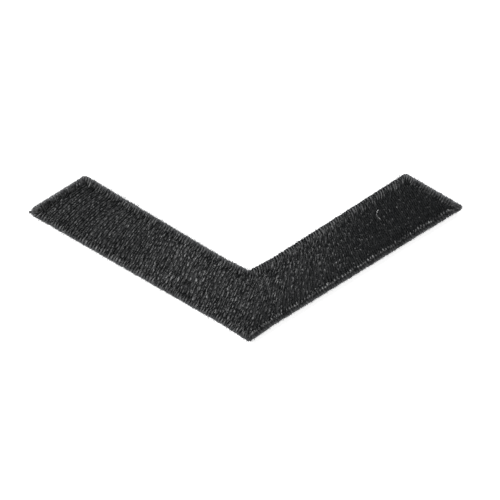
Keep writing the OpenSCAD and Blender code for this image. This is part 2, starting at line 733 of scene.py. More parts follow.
@dataclass
class CutCloth:
    """The stiffened twill that carries the stitches, cut round just outside the border.

    Attributes:
        outline: The cut edge.
        finish: The cloth's material.
        melt_r: Radius that the hot cut leaves on both edges.
        flat_angle: Faces that meet at less than this, in degrees, become one.
        sharp_angle: Edges that turn by more than this, in degrees, are melted round.
        tip_l: Stretch of cloth beside each drawn tip that moves with it.
    """

    outline: CutOutline
    finish: StiffenedTwill = field(default_factory=StiffenedTwill)
    melt_r: float = 0.12 * MM
    flat_angle: float = 0.5
    sharp_angle: float = 60.0
    tip_l: float = 1.0 * MM

    def build(self) -> bpy.types.Object:
        cloth = copied_node("base_cloth", "twill_cloth")
        with editing():
            bpy.ops.mesh.dissolve_limited(angle_limit=math.radians(self.flat_angle))
            bpy.ops.mesh.select_all(action="DESELECT")
            bpy.ops.mesh.edges_select_sharp(sharpness=math.radians(self.sharp_angle))
            bpy.ops.mesh.bevel(offset=self.melt_r, segments=3, affect="EDGES", clamp_overlap=True)
        for tip, shift in DRAWN_CLOTH.items():
            self._draw_tip(cloth, tip, shift)
        LOG.info("%s of %d faces", cloth.name, len(cloth.data.polygons))
        cloth.data.shade_smooth()
        cloth.data.materials.append(self.finish.material())
        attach(cloth, "root")
        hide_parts("base_cloth")
        return cloth

    def _draw_tip(self, cloth: bpy.types.Object, tip: Corner, shift: tuple[float, float]) -> None:
        """Draws one tip of the cloth back under the border.

        Args:
            cloth: The cloth.
            tip: The tip.
            shift: How far it moves, in plan.
        """
        place = self.outline.corner(tip)
        bpy.ops.object.mode_set(mode="EDIT")
        bpy.ops.mesh.select_all(action="DESELECT")
        bpy.ops.object.mode_set(mode="OBJECT")
        for vertex in cloth.data.vertices:
            vertex.select = np.linalg.norm(np.array(vertex.co.xy) - place) < self.tip_l
        bpy.ops.object.mode_set(mode="EDIT")
        bpy.ops.transform.translate(value=(shift[0], shift[1], 0))
        bpy.ops.object.mode_set(mode="OBJECT")


@dataclass(frozen=True)
class RowGuide:
    """The fill's rows at one place along the bar.

    Attributes:
        along: Distance along the middle of the bar from its bend, negative on the left arm.
        angle: Direction of the row at its middle, in degrees from +X.
        bow: How much more its lower end turns than its middle, and its upper end less, in degrees.
        glint: How strongly the strands glint.
        relief: How far a strand sinks between its neighbours, where they rise, from 0 to 1.
        weave_l: Length over which a strand rises and sinks once.
        unrest: How far the strands stray from their places, from 0 to 1.
    """

    along: float
    angle: float
    bow: float
    glint: float
    relief: float
    weave_l: float
    unrest: float

    @staticmethod
    def between(along: float) -> "RowGuide":
        """Blends the two guides beside a place.

        Args:
            along: The place's distance along the middle of the bar.

        Returns:
            The row there, with both angles in radians.
        """
        table = np.array([astuple(guide) for guide in ROW_GUIDES])
        _, angle, bow, *rest = [float(np.interp(along, table[:, 0], column)) for column in table.T]
        return RowGuide(along, math.radians(angle), math.radians(bow), *rest)


# The directions were read in the photograph, and the rest was set by comparing renders with it
ROW_GUIDES = (
    RowGuide(-30.0 * MM, 38.0, 4.0, 0.85, 0.8, 1.0 * MM, 0.9),
    RowGuide(-25.0 * MM, 42.0, 9.0, 0.8, 0.8, 1.0 * MM, 0.9),
    RowGuide(-20.0 * MM, 50.0, 8.0, 0.9, 0.9, 1.2 * MM, 1.0),
    RowGuide(-17.0 * MM, 57.0, 4.0, 1.0, 1.0, 1.4 * MM, 1.0),
    RowGuide(-14.0 * MM, 61.0, 2.0, 1.45, 1.0, 1.5 * MM, 1.0),
    RowGuide(-6.0 * MM, 64.5, 0.0, 1.4, 1.0, 1.4 * MM, 1.0),
    RowGuide(0.0 * MM, 66.0, 0.0, 1.3, 1.0, 1.4 * MM, 1.0),
    RowGuide(2.5 * MM, 70.0, 3.0, 1.0, 1.0, 2.2 * MM, 1.0),
    RowGuide(5.5 * MM, 81.0, 6.0, 1.15, 1.0, 2.4 * MM, 1.0),
    RowGuide(9.0 * MM, 93.0, 6.0, 1.15, 1.0, 2.0 * MM, 1.0),
    RowGuide(12.0 * MM, 102.0, 4.0, 1.15, 0.8, 1.6 * MM, 0.8),
    RowGuide(14.0 * MM, 110.0, 1.0, 1.15, 0.5, 1.2 * MM, 0.6),
    RowGuide(17.0 * MM, 118.0, 0.0, 0.8, 0.3, 1.0 * MM, 0.35),
    RowGuide(20.0 * MM, 121.0, 0.0, 0.5, 0.2, 1.0 * MM, 0.2),
    RowGuide(24.0 * MM, 121.0, 0.0, 0.45, 0.15, 1.0 * MM, 0.15),
    RowGuide(30.0 * MM, 122.0, 0.0, 0.45, 0.15, 1.0 * MM, 0.15),
)


# The waves that a stitch sways in, sideways and up and down, as weights and lengths
BENDS = ((0.8, 1.3 * MM), (0.8, 1.8 * MM))
RIPPLES = ((1.0, 0.9 * MM), (0.5, 1.8 * MM))


@dataclass(frozen=True)
class Row:
    """One row of the fill.

    Attributes:
        lower: Its lower end, in plan.
        upper: Its upper end.
        form: How it runs, with its angles in radians.
    """

    lower: np.ndarray
    upper: np.ndarray
    form: RowGuide

    @property
    def length(self) -> float:
        """The distance between its ends."""
        return float(np.linalg.norm(self.upper - self.lower))

    def place(self, at: np.ndarray, aside: np.ndarray) -> np.ndarray:
        """Finds places along the row.

        Args:
            at: Distances from its lower end.
            aside: How far each place lies to the left of the row.

        Returns:
            The places, in plan.
        """
        run = (self.upper - self.lower) / self.length
        left = np.array([-run[1], run[0]])
        sag = self.form.bow * at * (1 - at / self.length)
        return self.lower + run * at[:, None] + left * (sag + aside)[:, None]


@dataclass
class StitchedField:
    """The field of fill stitches inside the border: rows that turn as they go along the bar.

    Attributes:
        outline: The cut edge of the cloth.
        thread: The thread's material.
        strand: The thread's form.
        start_depth: Depth of the rows' ends inside the cut, under the border.
        row_pitch: Distance between rows.
        pitch_shares: Share of it that holds everywhere, and share that needs full unrest.
        overrun: How far beyond the bar's ends the middles of the first and last rows lie.
        stitch_l: Length of a full stitch.
        shortest: No stitch is shorter than this.
        first_range: Least and greatest share of a full stitch before a row's first hole.
        stitch_range: The same between two holes.
        hole_dip: How far at most a strand dives at a needle hole.
        dip_range: Least and greatest share of that dive.
        hole_run: Length over which it dives there.
        run_share: Greatest share of a stitch that this length takes up.
        gleam_range: Least and greatest glint of a single stitch, beside its row's.
        dimming: Share of its glint that a strand loses where it sinks full deep.
        pulled: Share of the stitches' ends that the needle has pulled down hard.
        spark: How much more strongly a pulled end glints.
        lap: How far a stitch runs on past its hole, beside the next one's start.
        stray: How far a needle hole strays sideways from its row.
        row_stray: How far a whole row strays sideways.
        row_lift: How high a row lies above its place on average, and how far that strays.
        lift_stray: How far one stitch lies above or below its row.
        bend_w: How far a stitch sways sideways.
        ripple_h: How far it sways up and down.
        sway_range: Least and greatest length of a sway, beside its usual one.
        slack_range: Least and greatest length of a turn of the twist, beside its usual one.
        top: Height of the strands' middle along the middle of the bar, above the field's foot.
        rise_depth: Depth inside the cut where the rows start to rise from under the border.
        rise_l: Run over which they rise.
        rise_h: How far they rise there.
        dome_l: Depth inside the cut of the middle of the bar.
        dome_h: How far the field's dome falls from there to the cut.
        weave_h: How far a strand sinks below its neighbours at most.
        weave_stray: How far the rows' rise and fall gets out of step from row to row, in radians.
    """

    outline: CutOutline
    thread: PolyesterThread
    strand: Strand = field(default_factory=Strand)
    start_depth: float = 0.35 * MM
    row_pitch: float = 0.31 * MM
    pitch_shares: tuple[float, float] = (0.85, 0.15)
    overrun: float = 8.0 * MM
    stitch_l: float = 3.0 * MM
    shortest: float = 0.9 * MM
    first_range: tuple[float, float] = (0.25, 1.0)
    stitch_range: tuple[float, float] = (0.65, 1.1)
    hole_dip: float = 0.16 * MM
    dip_range: tuple[float, float] = (0.2, 1.0)
    hole_run: float = 0.35 * MM
    run_share: float = 0.4
    gleam_range: tuple[float, float] = (0.65, 1.35)
    dimming: float = 0.65
    pulled: float = 0.22
    spark: float = 0.8
    lap: float = 0.2 * MM
    stray: float = 0.07 * MM
    row_stray: float = 0.025 * MM
    row_lift: tuple[float, float] = (0.02 * MM, 0.015 * MM)
    lift_stray: float = 0.03 * MM
    bend_w: float = 0.025 * MM
    ripple_h: float = 0.012 * MM
    sway_range: tuple[float, float] = (0.7, 1.3)
    slack_range: tuple[float, float] = (0.7, 1.4)
    top: float = 0.44 * MM
    rise_depth: float = 0.65 * MM
    rise_l: float = 1.2 * MM
    rise_h: float = 0.05 * MM
    dome_l: float = 4.05 * MM
    dome_h: float = 0.08 * MM
    weave_h: float = 0.06 * MM
    weave_stray: float = 0.6

    def height(self, depth: np.ndarray) -> np.ndarray:
        """Height of the strands' middle at some depths inside the cut."""
        rise = self.rise_h * (1 - smoothstep((depth - self.rise_depth) / self.rise_l))
        dome = self.dome_h * np.clip(1 - depth / self.dome_l, 0.0, 1.0) ** 2
        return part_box("stitched_field")[0].z + self.top - rise - dome

    def rows(self) -> list[Row]:
        """Works out the rows, from the left end of the bar to the right one."""
        at = self.outline.corner
        edge = self.outline.inset(self.start_depth)
        left = (at(Corner.LEFT_TIP) + at(Corner.LEFT_TOP)) / 2
        bend = (at(Corner.POINT) + at(Corner.NOTCH)) / 2
        right = (at(Corner.RIGHT_TIP) + at(Corner.RIGHT_TOP)) / 2
        left_l, right_l = np.linalg.norm(left - bend), np.linalg.norm(right - bend)
        left_run, right_run = (left - bend) / left_l, (right - bend) / right_l
        # A slanting row can cross the end of the bar with its own middle beyond it
        along, rows = -left_l - self.overrun, []
        while along < right_l + self.overrun:
            run = -left_run if along < 0 else right_run
            form = RowGuide.between(along)
            heading = np.array([math.cos(form.angle), math.sin(form.angle)])
            ends = chord(edge, bend + along * run, heading)
            if ends is not None and np.linalg.norm(ends[1] - ends[0]) > self.shortest:
                rows.append(Row(ends[0], ends[1], form))
            pitch = self.row_pitch * (self.pitch_shares[0] + self.pitch_shares[1] * form.unrest)
            along += pitch / abs(run[0] * heading[1] - run[1] * heading[0])
        return rows

    def holes(self, length: float, rng: np.random.Generator) -> list[float]:
        """Places the needle holes along one row.

        Args:
            length: The row's length.
            rng: Shifts the holes, so that they never line up from row to row.

        Returns:
            The holes' distances from the row's lower end, both ends among them.
        """
        places, at = [0.0], rng.uniform(*self.first_range) * self.stitch_l
        while at < length - self.shortest:
            places.append(at)
            at += self.stitch_l * rng.uniform(*self.stitch_range)
        return places + [length]

    def build(self) -> bpy.types.Object:
        rng, pulls = np.random.default_rng(11), np.random.default_rng(12)
        threads = StrandMesh("field_threads", self.strand.flat)
        weave = 0.0
        for row in self.rows():
            unrest = row.form.unrest
            weave += math.pi + rng.normal(0, self.weave_stray)
            lift = rng.normal(self.row_lift[0], self.row_lift[1] * unrest)
            holes = self.holes(row.length, rng)
            stray = unrest * (rng.normal(0, self.row_stray) + rng.normal(0, self.stray, len(holes)))
            for i in range(len(holes) - 1):
                ends = [holes[i] - self.lap * (i > 0), holes[i + 1]]
                pulled = pulls.random(2) < self.pulled
                self._lay(threads, row, ends, stray[i : i + 2], pulled, lift, weave, rng)
        obj = threads.build(self.thread.material())
        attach(obj, "root")
        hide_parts("stitched_field")
        return obj

    def _lay(
        self,
        threads: StrandMesh,
        row: Row,
        holes: list[float],
        stray: np.ndarray,
        pulled: np.ndarray,
        lift: float,
        weave: float,
        rng: np.random.Generator,
    ) -> None:
        """Lays one stitch between two needle holes.

        Args:
            threads: The mesh that takes it.
            row: The row that it belongs to.
            holes: The two holes' distances from the row's lower end.
            stray: How far each of them lies beside the row.
            pulled: Whether the needle has pulled the strand down hard at each of them.
            lift: Height of this row above its place.
            weave: Where in its rise and fall the row starts, in radians.
            rng: Source of the small chances of hand and machine.
        """
        length = holes[1] - holes[0]
        form = row.form
        lift = lift + form.unrest * rng.normal(0, self.lift_stray)
        dips = self.hole_dip * rng.uniform(*self.dip_range, 2) * np.where(pulled, 1.0, form.unrest)
        gleam = form.glint * rng.uniform(*self.gleam_range)
        reach = min(self.hole_run, self.run_share * length)
        bends, ripples = (
            [(w, l * rng.uniform(*self.sway_range), rng.uniform(0, math.tau)) for w, l in waves]
            for waves in (BENDS, RIPPLES)
        )

        def sway(at: np.ndarray, parts: list[tuple[float, float, float]]) -> np.ndarray:
            """Adds up a few waves along the stitch."""
            return sum(w * np.sin(math.tau * at / l + p) for w, l, p in parts)

        def sunk(share: np.ndarray) -> np.ndarray:
            """How far the strand sinks between its neighbours, from 0 to 1."""
            at = holes[0] + share * length
            return form.relief * (0.5 - 0.5 * np.cos(math.tau * at / form.weave_l + weave))

        def near_ends(share: np.ndarray) -> np.ndarray:
            """How near either end is, from 0 to 1, in one row for each end."""
            return 1 - smoothstep(np.stack([share * length, length - share * length]) / reach)

        def glint(share: np.ndarray) -> np.ndarray:
            """How strongly the strand glints: less where it sinks, more at a pulled end."""
            return gleam * (1.0 - self.dimming * sunk(share)) + self.spark * (pulled @ near_ends(share))

        def path(share: np.ndarray) -> np.ndarray:
            """Places along the stitch: down at both ends, and swaying between them."""
            at = share * length
            free = np.sin(math.pi * share)
            aside = stray[0] + (stray[1] - stray[0]) * share + self.bend_w * free * sway(at, bends)
            plan = row.place(holes[0] + at, aside)
            z = self.height(self.outline.depth(plan)) + lift + self.ripple_h * free * sway(at, ripples)
            return np.column_stack([plan, z - self.weave_h * sunk(share) - dips @ near_ends(share)])

        threads.lay(
            self.strand.model(self.strand.quarters(length, rng.uniform(*self.slack_range))),
            path,
            rng.normal(1.0, SIZE_SPREAD),
            rng.uniform(0, math.pi),
            glint,
        )


def chord(
    edge: np.ndarray, centre: np.ndarray, run: np.ndarray
) -> tuple[np.ndarray, np.ndarray] | None:
    """Cuts a line off where it leaves an outline.

    Args:
        edge: The outline's corners.
        centre: A point of the line, inside the outline or beyond its ends.
        run: The line's direction.

    Returns:
        The two ends of the stretch inside the outline that lies nearest to the point, or None.
    """
    cuts = []
    for a, b in zip(edge, np.roll(edge, -1, axis=0)):
        side_a = run[0] * (a - centre)[1] - run[1] * (a - centre)[0]
        side_b = run[0] * (b - centre)[1] - run[1] * (b - centre)[0]
        if (side_a < 0) != (side_b < 0):
            hit = a + (b - a) * side_a / (side_a - side_b)
            cuts.append(float((hit - centre) @ run))
    cuts.sort()
    if not cuts:
        return None
    pairs = list(zip(cuts[::2], cuts[1::2]))
    low, high = min(pairs, key=lambda p: max(p[0], -p[1], 0.0))
    return centre + low * run, centre + high * run


class Leg(Enum):
    """The two ways that the satin thread crosses the border."""

    OVER = "over"
    BACK = "back"


@dataclass(frozen=True)
class SideForm:
    """How the border's strands cross their core along one side.

    Attributes:
        bulge: How far a strand bulges past the cut.
        shoulder: Its height below the crown where the steep climb at the cut ends.
        crown: How far the crown lies from its outermost place.
        fall: How far it falls from the crown before it sinks into the fill.
        reach: How far its inner needle hole lies from its outermost place.
        stray: How far the inner needle hole strays along the strand.
        gap: How far a strand on its way back lies below one on its way over.
        glint: How strongly the strands glint.
        rim_light_share: How much painted rim light the strands take at the cut, from 0 to 1.
        hook: How far a strand turns between its middle and either end, in degrees.
        lean: How far a strand runs back along the side for each unit that it runs inward.
        fuzz: How long the loose fibres at the cut are, beside the longest.
    """

    bulge: float
    shoulder: float
    crown: float
    fall: float
    reach: float
    stray: float
    gap: float
    glint: float
    rim_light_share: float
    hook: float = 16.0
    lean: float = 0.0
    fuzz: float = 1.0

    def section(self, top: float, reach: float, sink: float) -> np.ndarray:
        """Gives the section's corners, as distances inward and heights.

        Args:
            top: Height of the crown.
            reach: How far this strand reaches inward.
            sink: How far it sinks at its inner hole.

        Returns:
            The corners, from the foot at the cut to the inner needle hole.
        """
        # Up from the foot over the outermost place and the shoulder to the crown
        climb = [
            (0.07 * MM, 0.0),
            (0.0, 0.25 * top),
            (0.02 * MM, min(0.5 * top, top - self.shoulder - 0.06 * MM)),
            (0.1 * MM, top - self.shoulder),
            (self.crown / 2, top - 0.5 * self.shoulder),
            (self.crown, top),
        ]
        # Down from the crown to the inner needle hole, which stays beyond it
        descent = [
            (max(reach - 0.25 * MM, self.crown + 0.05 * MM), top - self.fall),
            (max(reach, self.crown + 0.2 * MM), top - self.fall - sink),
        ]
        return np.array(climb + descent)


LOWER_RIGHT = SideForm(
    bulge=-0.015 * MM,
    shoulder=0.16 * MM,
    crown=0.6 * MM,
    fall=0.08 * MM,
    reach=1.0 * MM,
    stray=0.06 * MM,
    gap=0.1 * MM,
    glint=1.3,
    rim_light_share=0.7,
    fuzz=0.7,
)
RIGHT_END = SideForm(
    bulge=0.03 * MM,
    shoulder=0.12 * MM,
    crown=0.75 * MM,
    fall=0.04 * MM,
    reach=1.05 * MM,
    stray=0.1 * MM,
    gap=0.12 * MM,
    glint=0.8,
    rim_light_share=1.0,
    fuzz=1.4,
)
UPPER_RIGHT = SideForm(
    bulge=0.02 * MM,
    shoulder=0.24 * MM,
    crown=1.15 * MM,
    fall=0.02 * MM,
    reach=1.7 * MM,
    stray=0.3 * MM,
    gap=0.34 * MM,
    glint=0.62,
    rim_light_share=0.5,
    hook=25.0,
    lean=0.3,
    fuzz=1.7,
)
UPPER_LEFT = SideForm(
    bulge=0.08 * MM,
    shoulder=0.06 * MM,
    crown=0.75 * MM,
    fall=0.02 * MM,
    reach=1.25 * MM,
    stray=0.15 * MM,
    gap=0.08 * MM,
    glint=0.85,
    rim_light_share=0.75,
    fuzz=1.3,
)
LEFT_END = SideForm(
    bulge=0.06 * MM,
    shoulder=0.02 * MM,
    crown=0.75 * MM,
    fall=0.0 * MM,
    reach=1.15 * MM,
    stray=0.12 * MM,
    gap=0.08 * MM,
    glint=1.3,
    rim_light_share=0.7,
    fuzz=1.5,
)
LOWER_LEFT = SideForm(
    bulge=0.04 * MM,
    shoulder=0.05 * MM,
    crown=0.7 * MM,
    fall=0.02 * MM,
    reach=1.05 * MM,
    stray=0.12 * MM,
    gap=0.12 * MM,
    glint=1.1,
    rim_light_share=1.0,
    fuzz=1.3,
)
# From the point of the V counter-clockwise, each side by the corner that it starts from
SIDE_FORMS = {
    Corner.POINT: LOWER_RIGHT,
    Corner.LOWER_RIGHT_WAIST: LOWER_RIGHT,
    Corner.RIGHT_TIP: RIGHT_END,
    Corner.RIGHT_TOP: UPPER_RIGHT,
    Corner.UPPER_RIGHT_WAIST: UPPER_RIGHT,
    Corner.NOTCH: UPPER_LEFT,
    Corner.UPPER_LEFT_WAIST: UPPER_LEFT,
    Corner.LEFT_TOP: LEFT_END,
    Corner.LEFT_TIP: LOWER_LEFT,
    Corner.LOWER_LEFT_WAIST: LOWER_LEFT,
}


# The radii that the border rounds off the two sharp tips with
TIP_RADII = {Corner.RIGHT_TIP: 0.3 * MM, Corner.LEFT_TIP: 0.65 * MM}


@dataclass
class SatinBorder:
    """The raised border: satin stitches that zigzag over a padded core.

    Attributes:
        outline: The cut edge of the cloth.
        thread: The thread's material.
        over: The form of a strand on its way over.
        back: The form of one on its way back, which lies lower and shows less.
        inner_depth: Depth of the inner needle holes inside the cut.
        pitch: Distance between needle holes along the border.
        fan_l: Stretch beside a corner over which the stitches fan round it.
        rounded_l: Stretch beside a sharp tip that its rounding can reach.
        samples: Places along one side that the stitches' spacing is worked out at.
        outer_stray: How far a strand's bulge strays outward or inward.
        outer_slip: How far it strays along the side.
        inner_slip: The same at the strand's inner needle hole.
        crown_stray: How far the crown's height strays.
        hook_stray: How far a strand's hook strays, in radians.
        over_range: Least and greatest glint of a strand on its way over, beside its side's.
        back_glint: Glint of a strand on its way back, beside its side's.
        back_fall: Share of a strand on its way back over which it sinks to its lower course.
        thickness: Depth of a strand's middle below the border's crown.
        back_cut: How much less far inward a strand on its way back reaches.
        sink: How far a strand sinks at its inner needle hole.
        rim_light_depth: How far inward from the cut the painted rim light reaches.
    """

    outline: CutOutline
    thread: PolyesterThread
    over: Strand = field(default_factory=lambda: Strand(0.1 * MM, 0.05 * MM, 2.6 * MM, 6, 18, 0.85))
    back: Strand = field(default_factory=lambda: Strand(0.1 * MM, 0.15 * MM, 5.2 * MM, 5, 24, 0.7))
    inner_depth: float = 0.95 * MM
    pitch: float = 0.4 * MM
    fan_l: float = 1.2 * MM
    rounded_l: float = 1.8 * MM
    samples: int = 400
    outer_stray: float = 0.02 * MM
    outer_slip: float = 0.02 * MM
    inner_slip: float = 0.03 * MM
    crown_stray: float = 0.02 * MM
    hook_stray: float = 0.1
    over_range: tuple[float, float] = (0.8, 1.2)
    back_glint: float = 0.6
    back_fall: float = 0.25
    thickness: float = 0.12 * MM
    back_cut: float = 0.25 * MM
    sink: float = 0.12 * MM
    rim_light_depth: float = 0.5 * MM

    def stations(self) -> list[tuple[np.ndarray, np.ndarray, SideForm]]:
        """Places the stitches round the border.

        Returns:
            For each stitch, its outermost place, a place inward of it and its side's form.
        """
        inner = self.outline.inset(self.inner_depth)
        middle = self.outline.inset(self.inner_depth / 2)
        found = []
        for corner, form in SIDE_FORMS.items():
            i, j = corner.value, (corner.value + 1) % len(middle)
            side = middle[j] - middle[i]
            length = float(np.linalg.norm(side))
            run = side / length
            lead = float((inner[i] - middle[i]) @ run)
            trail = float((middle[j] - inner[j]) @ run)
            for at in self._spaced(length, lead, trail):
                near = 1 - min(at / self.fan_l, 1.0)
                far = 1 - min((length - at) / self.fan_l, 1.0)
                lean = run * (lead * near - trail * far)
                foot = middle[i] + run * at
                out = np.array([run[1], -run[0]])
                outer = foot + out * (self.inner_depth / 2 + form.bulge) - lean
                for tip, away in ((corner, at), (Corner(j), length - at)):
                    if tip in TIP_RADII and away < self.rounded_l:
                        outer = self._rounded(outer, tip, form.bulge)
                found.append((outer, foot - out * self.inner_depth / 2 + lean, form))
        return found

    def _rounded(self, outer: np.ndarray, tip: Corner, bulge: float) -> np.ndarray:
        """Draws a strand's outermost place back to where the border rounds a sharp tip.

        Args:
            outer: The place, in plan.
            tip: The tip beside it.
            bulge: How far the strand bulges past the cut.

        Returns:
            The place on the rounded tip, or the same place where the rounding doesn't reach.
        """
        corner = self.outline.corner(tip)
        bisector = self.outline.inset(self.inner_depth)[tip.value] - corner
        half = self.inner_depth / np.linalg.norm(bisector)
        bisector = bisector / np.linalg.norm(bisector)
        centre = corner + bisector * TIP_RADII[tip] / half
        past = outer - centre
        far_off = float(np.linalg.norm(past))
        if -past @ bisector < far_off * half:
            return outer
        return centre + past / far_off * min(far_off, TIP_RADII[tip] + bulge)

    def _spaced(self, length: float, lead: float, trail: float) -> list[float]:
        """Spaces stitches along one side, closer where they fan round an outer corner.

        Args:
            length: The side's length.
            lead: How far the inner hole leads the stitch at the side's start.
            trail: The same at its end.

        Returns:
            The stitches' distances from the side's start.
        """
        steps = np.linspace(0, length, self.samples)
        near = np.where(steps < self.fan_l, max(lead, 0.0) / self.fan_l, 0.0)
        far = np.where(length - steps < self.fan_l, max(trail, 0.0) / self.fan_l, 0.0)
        dense = 1 + near + far
        total = running_total((dense[1:] + dense[:-1]) / 2 * np.diff(steps))
        count = max(1, round(total[-1] / self.pitch))
        return list(np.interp((np.arange(count) + 0.5) / count * total[-1], total, steps))

    def build(self) -> bpy.types.Object:
        rng = np.random.default_rng(23)
        threads = StrandMesh("border_threads", self.over.flat, taper_l=0.2 * MM, taper_to=0.85)
        stations = []
        for outer, inner, form in self.stations():
            span = outer - inner
            out = span / np.linalg.norm(span)
            side = np.array([out[1], -out[0]])
            outer = outer + out * rng.normal(0, self.outer_stray) + side * rng.normal(0, self.outer_slip)
            inner = inner + side * rng.normal(0, self.inner_slip)
            stations.append((outer, inner, form))
        for (outer, inner, form), following in zip(stations, stations[1:] + stations[:1]):
            self._lay(threads, inner, outer, Leg.OVER, form, rng)
            between = (inner + following[1]) / 2, (outer + following[0]) / 2
            self._lay(threads, between[0], between[1], Leg.BACK, form, rng)
        obj = threads.build(self.thread.material())
        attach(obj, "root")
        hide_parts("satin_border")
        return obj

    def _lay(
        self,
        threads: StrandMesh,
        inner: np.ndarray,
        outer: np.ndarray,
        leg: Leg,
        form: SideForm,
        rng: np.random.Generator,
    ) -> None:
        """Lays one crossing of the border, arched over its core.

        Args:
            threads: The mesh that takes it.
            inner: A place inward of it, in plan.
            outer: The outermost place of its bulge.
            leg: Whether it goes over or comes back.
            form: How it crosses the core.
            rng: Source of the small chances of the machine.
        """
        low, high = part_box("satin_border")
        span = (inner - outer) / np.linalg.norm(inner - outer)
        aside = np.array([-span[1], span[0]])
        top = high.z - low.z - self.thickness + rng.normal(0, self.crown_stray)
        reach = form.reach + rng.normal(0, form.stray)
        drop = 0.0
        if leg is Leg.BACK:
            reach = form.reach - self.back_cut
            drop = form.gap
        corners = form.section(top, reach, self.sink)
        run = running_total(np.hypot(*np.diff(corners, axis=0).T))
        hook = math.radians(form.hook) + rng.normal(0, self.hook_stray)

        def section(share: np.ndarray) -> tuple[np.ndarray, np.ndarray]:
            """Distances inward and heights along the section."""
            return tuple(np.interp(share * run[-1], run, column) for column in corners.T)

        def path(share: np.ndarray) -> np.ndarray:
            """Places along the section, from the cut up over the core and down into the fill."""
            across, height = section(share)
            plan = outer + span * across[:, None]
            plan = plan + aside * (across * (hook * (1 - across / reach) - form.lean))[:, None]
            return np.column_stack([plan, low.z + height - drop * smoothstep(share / self.back_fall)])

        def painted_rim_light(share: np.ndarray) -> np.ndarray:
            """How much painted rim light the strand takes: most where it bulges past the cut."""
            return form.rim_light_share * (1 - smoothstep(section(share)[0] / self.rim_light_depth))

        strand = self.over if leg is Leg.OVER else self.back
        threads.lay(
            strand.model(strand.quarters(run[-1])),
            path,
            rng.normal(1.0, SIZE_SPREAD),
            rng.uniform(0, math.pi),
            level(form.glint * (rng.uniform(*self.over_range) if leg is Leg.OVER else self.back_glint)),
            painted_rim_light,
        )


@dataclass
class EdgeFibres:
    """Fine ends of filaments that stand out from the border all round the cut.

    Attributes:
        outline: The cut edge of the cloth.
        thread: The thread's material.
        filament: The form of a bundle of a few filaments.
        spacing: Distance between them along the edge.
        root_depth: Depth inside the cut where they leave the strands.
        longest: How far the longest stands out.
        lengths: The two shapes of the beta law that their lengths follow.
        curl: How far a fibre curls to one side, beside how far it stands out.
        fall_range: Least and greatest height that it loses.
        low: Lowest height above the floor that they leave the strands at.
        high: Highest.
    """

    outline: CutOutline
    thread: PolyesterThread
    filament: Strand = field(default_factory=lambda: Strand(0.018 * MM, 0.0, 0.4 * MM, 4, 8, 1.0, 1))
    spacing: float = 0.034 * MM
    root_depth: float = 0.06 * MM
    longest: float = 0.48 * MM
    lengths: tuple[float, float] = (1.5, 2.2)
    curl: float = 0.5
    fall_range: tuple[float, float] = (-0.1 * MM, 0.15 * MM)
    low: float = 1.05 * MM
    high: float = 1.35 * MM

    def build(self) -> bpy.types.Object:
        rng = np.random.default_rng(37)
        fibres = StrandMesh("edge_fibres", 1.0, taper_to=0.5)
        roots = self.outline.inset(self.root_depth)
        for start, end, form in zip(roots, np.roll(roots, -1, axis=0), SIDE_FORMS.values()):
            length = float(np.linalg.norm(end - start))
            run = (end - start) / length
            out = np.array([run[1], -run[0]])
            for at in np.arange(self.spacing / 2, length, self.spacing):
                root = start + run * (at + rng.normal(0, self.spacing / 3))
                reach = self.root_depth + form.bulge + form.fuzz * self.longest * rng.beta(*self.lengths)
                self._lay(fibres, root, out * reach, run * reach * rng.normal(0, self.curl), rng)
        obj = fibres.build(self.thread.material())
        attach(obj, "root")
        return obj

    def _lay(
        self,
        fibres: StrandMesh,
        root: np.ndarray,
        out: np.ndarray,
        aside: np.ndarray,
        rng: np.random.Generator,
    ) -> None:
        """Lays one fibre, which curls as it stands out.

        Args:
            fibres: The mesh that takes it.
            root: Where it leaves the strands, in plan.
            out: How far it reaches outward.
            aside: How far it curls to one side.
            rng: Source of its height and its fall.
        """
        height = rng.uniform(self.low, self.high)
        fall = rng.uniform(*self.fall_range)

        def path(share: np.ndarray) -> np.ndarray:
            """Places along the fibre."""
            plan = root + out * share[:, None] + aside * (share * share)[:, None]
            return np.column_stack([plan, height - fall * share * share])

        # The fibres take the full painted rim light, which makes them lit grey hairs
        fibres.lay(self.filament.model(1), path, 1.0, 0.0, painted_rim_light=np.ones_like)


@dataclass(frozen=True)
class LooseEnd:
    """A thread or filament that has come loose and lies over the stitches.

    Attributes:
        corners: Where it goes, in plan and up, in millimetres, each corner rounded off.
        strand: Its form.
        glint: How strongly it glints.
    """

    corners: tuple[tuple[float, float, float], ...]
    strand: Strand
    glint: float

    @property
    def line(self) -> np.ndarray:
        """Its corners, in metres."""
        return np.array(self.corners) * MM

    @property
    def length(self) -> float:
        """The distance from corner to corner along it."""
        return float(np.linalg.norm(np.diff(self.line, axis=0), axis=1).sum())

    def path(self, share: np.ndarray) -> np.ndarray:
        """Places along it, with its corners cut to a smooth bend."""
        line = self.line
        for _ in range(3):
            # Each run keeps its middle half, and new runs join those across the corners
            cut = np.stack([line[:-1] * 0.75 + line[1:] * 0.25, line[:-1] * 0.25 + line[1:] * 0.75], 1)
            line = np.concatenate([line[:1], cut.reshape(-1, 3), line[-1:]])
        run = running_total(np.linalg.norm(np.diff(line, axis=0), axis=1))
        return np.stack([np.interp(share * run[-1], run, line[:, i]) for i in range(3)], axis=1)


